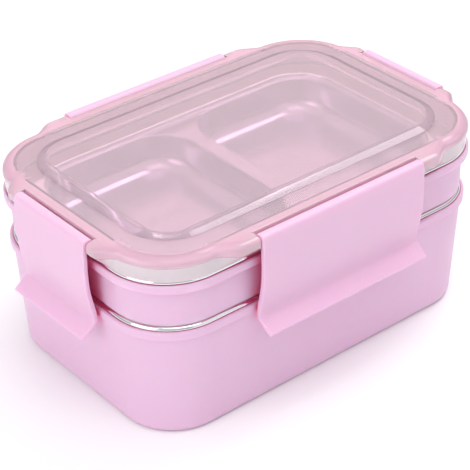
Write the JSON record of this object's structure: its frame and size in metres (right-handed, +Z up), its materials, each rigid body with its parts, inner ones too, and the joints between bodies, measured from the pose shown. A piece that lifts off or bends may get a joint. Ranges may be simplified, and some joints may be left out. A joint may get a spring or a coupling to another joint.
{
  "type": "bento lunch box",
  "caption": "Stacked rectangular lunch box: plastic shells with pressed steel trays, a divided upper tray, a translucent lid with side latches and silicone seals.",
  "frame": {"origin": "middle of the underside, on the surface it stands on", "axes": "+X along the long side, +Y towards the back latch, +Z up"},
  "size_m": [0.2266, 0.1574, 0.098],
  "materials": {
    "shell": "matte moulded polypropylene, pale pink",
    "latch": "matte moulded polypropylene, pale pink",
    "tray": "pressed stainless steel, satin inside, polished rolled rim",
    "lid": "translucent pale pink polypropylene, satin",
    "seal": "white silicone"
  },
  "bodies": {
    "lower_shell": {"lower_shell": "shell"},
    "lower_tray": {"lower_tray": "tray"},
    "upper_shell": {"upper_shell": "shell", "tier_seal": "seal"},
    "upper_tray": {"upper_tray": "tray"},
    "lid": {"lid": "lid", "lid_seal": "seal"},
    "front_latch": {"front_latch": "latch"},
    "back_latch": {"back_latch": "latch"},
    "left_latch": {"left_latch": "latch"},
    "right_latch": {"right_latch": "latch"}
  },
  "joints": [
    {"name": "lower_tray_lift", "type": "slide", "parent": "lower_shell", "child": "lower_tray", "axis": [0, 0, 1], "range_m": [0, 0.072]},
    {"name": "upper_shell_lift", "type": "slide", "parent": "lower_tray", "child": "upper_shell", "axis": [0, 0, 1], "range_m": [0, 0.06]},
    {"name": "upper_tray_lift", "type": "slide", "parent": "upper_shell", "child": "upper_tray", "axis": [0, 0, 1], "range_m": [0, 0.072]},
    {"name": "lid_lift", "type": "slide", "parent": "upper_tray", "child": "lid", "axis": [0, 0, 1], "range_m": [0, 0.12]},
    {"name": "front_latch_hinge", "type": "hinge", "parent": "lid", "child": "front_latch", "pos_m": [0, -0.071, 0.0939], "axis": [-1, 0, 0], "range_deg": [0, 135]},
    {"name": "back_latch_hinge", "type": "hinge", "parent": "lid", "child": "back_latch", "pos_m": [0, 0.071, 0.0939], "axis": [1, 0, 0], "range_deg": [0, 135]},
    {"name": "left_latch_hinge", "type": "hinge", "parent": "lid", "child": "left_latch", "pos_m": [-0.1056, 0, 0.0939], "axis": [0, 1, 0], "range_deg": [0, 135]},
    {"name": "right_latch_hinge", "type": "hinge", "parent": "lid", "child": "right_latch", "pos_m": [0.1056, 0, 0.0939], "axis": [0, -1, 0], "range_deg": [0, 135]}
  ]
}
